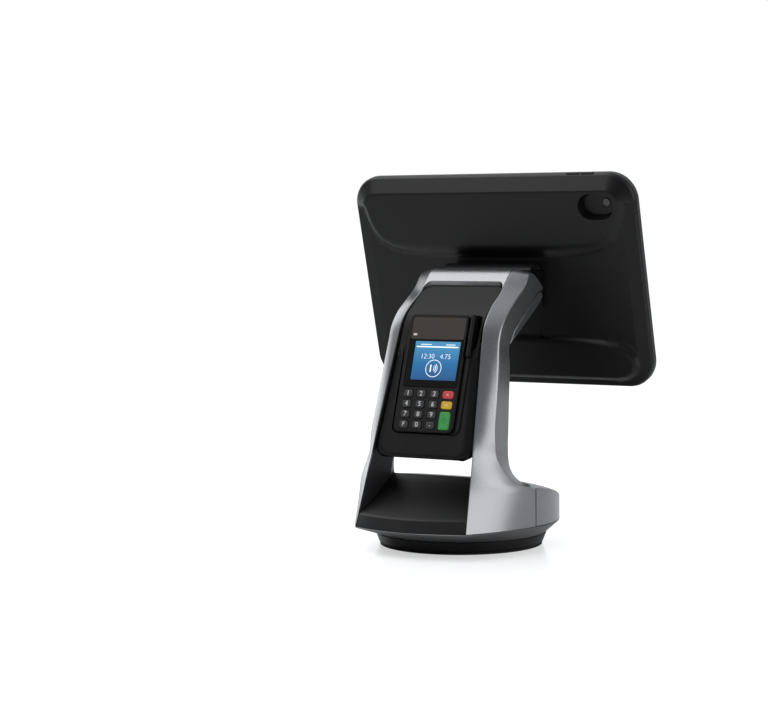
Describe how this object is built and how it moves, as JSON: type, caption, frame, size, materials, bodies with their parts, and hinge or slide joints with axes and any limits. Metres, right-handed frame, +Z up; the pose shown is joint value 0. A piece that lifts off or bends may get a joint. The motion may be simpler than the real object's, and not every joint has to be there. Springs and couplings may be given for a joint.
{
  "type": "card payment terminal",
  "caption": "Counter-top card payment station: silver arched stand on a swivelling drum base, leaning PIN pad in a black cradle on the front and a cased tablet on a tilting hinge behind.",
  "frame": {"origin": "centre of the underside of the rubber foot, on the counter", "axes": "+X to the right for the customer, +Y towards the cashier, +Z up; the PIN pad faces -Y"},
  "size_m": [0.2809, 0.2157, 0.3232],
  "materials": {
    "silver_paint": "satin cool silver paint with fine flake",
    "soft_black": "soft-touch black, very fine grain",
    "gloss_black": "smooth black plastic",
    "rubber": "matt black rubber",
    "steel": "zinc-plated steel",
    "acetal": "natural acetal",
    "header": "brown-grey gloss panel",
    "dark_glass": "tinted cover glass",
    "lit_screen": "lit colour display",
    "circuit_board": "green solder mask",
    "battery": "wrapped cell",
    "tablet_metal": "bead-blasted and anodised",
    "key_black": "moulded dark key",
    "key_red": "moulded red key",
    "key_yellow": "moulded yellow key",
    "key_green": "moulded green key"
  },
  "bodies": {
    "counter_base": {"foot_pad": "rubber", "turntable_base": "gloss_black", "glide_ring": "acetal", "pivot_post": "steel", "pivot_washer": "acetal", "pivot_nut": "steel"},
    "stand": {"base_tray": "silver_paint", "ballast_plate": "steel", "base_rear_cap": "silver_paint", "stand_arch": "silver_paint", "ramp_tray": "soft_black", "liner_right": "soft_black", "liner_left": "soft_black", "rear_cover": "soft_black", "cradle": "soft_black", "cradle_bracket": "steel", "upper_panel": "soft_black", "pad_rear_case": "soft_black", "pad_bezel": "gloss_black", "header_plate": "header", "display_lens": "dark_glass", "status_light": "acetal", "display_module": "lit_screen", "keypad_mat": "rubber", "main_board": "circuit_board", "battery_pack": "battery", "chip_reader": "gloss_black", "magstripe_head": "steel", "head_tongue": "steel", "hinge_pin": "steel"},
    "tablet": {"case_back": "soft_black", "case_frame": "soft_black", "tablet_body": "tablet_metal", "tablet_glass": "dark_glass", "camera_lens": "dark_glass", "charging_plug": "gloss_black", "hinge_plate": "steel", "hinge_cover": "soft_black"},
    "key_1": {"key_1": "key_black"},
    "key_2": {"key_2": "key_black"},
    "key_3": {"key_3": "key_black"},
    "key_4": {"key_4": "key_black"},
    "key_5": {"key_5": "key_black"},
    "key_6": {"key_6": "key_black"},
    "key_7": {"key_7": "key_black"},
    "key_8": {"key_8": "key_black"},
    "key_9": {"key_9": "key_black"},
    "key_function": {"key_function": "key_black"},
    "key_0": {"key_0": "key_black"},
    "key_point": {"key_point": "key_black"},
    "key_cancel": {"key_cancel": "key_red"},
    "key_clear": {"key_clear": "key_yellow"},
    "key_enter": {"key_enter": "key_green"},
    "volume_up_button": {"volume_up_button": "gloss_black"},
    "volume_down_button": {"volume_down_button": "gloss_black"},
    "power_button": {"power_button": "gloss_black"},
    "home_button": {"home_button": "gloss_black"}
  },
  "joints": [
    {"name": "base_swivel", "type": "hinge", "parent": "counter_base", "child": "stand", "pos_m": [0, 0, 0], "axis": [0, 0, 1], "range_deg": [-170, 170]},
    {"name": "tablet_tilt", "type": "hinge", "parent": "stand", "child": "tablet", "pos_m": [0, 0.06, 0.228], "axis": [1, 0, 0], "range_deg": [-12, 12]},
    {"name": "key_1_press", "type": "slide", "parent": "stand", "child": "key_1", "axis": [0, 0.9483, -0.3173], "range_m": [0, 0.001], "stiffness_N_per_m": 600},
    {"name": "key_2_press", "type": "slide", "parent": "stand", "child": "key_2", "axis": [0, 0.9483, -0.3173], "range_m": [0, 0.001], "stiffness_N_per_m": 600},
    {"name": "key_3_press", "type": "slide", "parent": "stand", "child": "key_3", "axis": [0, 0.9483, -0.3173], "range_m": [0, 0.001], "stiffness_N_per_m": 600},
    {"name": "key_4_press", "type": "slide", "parent": "stand", "child": "key_4", "axis": [0, 0.9483, -0.3173], "range_m": [0, 0.001], "stiffness_N_per_m": 600},
    {"name": "key_5_press", "type": "slide", "parent": "stand", "child": "key_5", "axis": [0, 0.9483, -0.3173], "range_m": [0, 0.001], "stiffness_N_per_m": 600},
    {"name": "key_6_press", "type": "slide", "parent": "stand", "child": "key_6", "axis": [0, 0.9483, -0.3173], "range_m": [0, 0.001], "stiffness_N_per_m": 600},
    {"name": "key_7_press", "type": "slide", "parent": "stand", "child": "key_7", "axis": [0, 0.9483, -0.3173], "range_m": [0, 0.001], "stiffness_N_per_m": 600},
    {"name": "key_8_press", "type": "slide", "parent": "stand", "child": "key_8", "axis": [0, 0.9483, -0.3173], "range_m": [0, 0.001], "stiffness_N_per_m": 600},
    {"name": "key_9_press", "type": "slide", "parent": "stand", "child": "key_9", "axis": [0, 0.9483, -0.3173], "range_m": [0, 0.001], "stiffness_N_per_m": 600},
    {"name": "key_function_press", "type": "slide", "parent": "stand", "child": "key_function", "axis": [0, 0.9483, -0.3173], "range_m": [0, 0.001], "stiffness_N_per_m": 600},
    {"name": "key_0_press", "type": "slide", "parent": "stand", "child": "key_0", "axis": [0, 0.9483, -0.3173], "range_m": [0, 0.001], "stiffness_N_per_m": 600},
    {"name": "key_point_press", "type": "slide", "parent": "stand", "child": "key_point", "axis": [0, 0.9483, -0.3173], "range_m": [0, 0.001], "stiffness_N_per_m": 600},
    {"name": "key_cancel_press", "type": "slide", "parent": "stand", "child": "key_cancel", "axis": [0, 0.9483, -0.3173], "range_m": [0, 0.001], "stiffness_N_per_m": 600},
    {"name": "key_clear_press", "type": "slide", "parent": "stand", "child": "key_clear", "axis": [0, 0.9483, -0.3173], "range_m": [0, 0.001], "stiffness_N_per_m": 600},
    {"name": "key_enter_press", "type": "slide", "parent": "stand", "child": "key_enter", "axis": [0, 0.9483, -0.3173], "range_m": [0, 0.001], "stiffness_N_per_m": 600},
    {"name": "volume_up_button_press", "type": "slide", "parent": "tablet", "child": "volume_up_button", "axis": [0, 0.2605, -0.9655], "range_m": [0, 0.0005], "stiffness_N_per_m": 1500},
    {"name": "volume_down_button_press", "type": "slide", "parent": "tablet", "child": "volume_down_button", "axis": [0, 0.2605, -0.9655], "range_m": [0, 0.0005], "stiffness_N_per_m": 1500},
    {"name": "power_button_press", "type": "slide", "parent": "tablet", "child": "power_button", "axis": [-1, 0, 0], "range_m": [0, 0.0005], "stiffness_N_per_m": 1500},
    {"name": "home_button_press", "type": "slide", "parent": "tablet", "child": "home_button", "axis": [0, -0.9655, -0.2605], "range_m": [0, 0.0004], "stiffness_N_per_m": 1500}
  ]
}
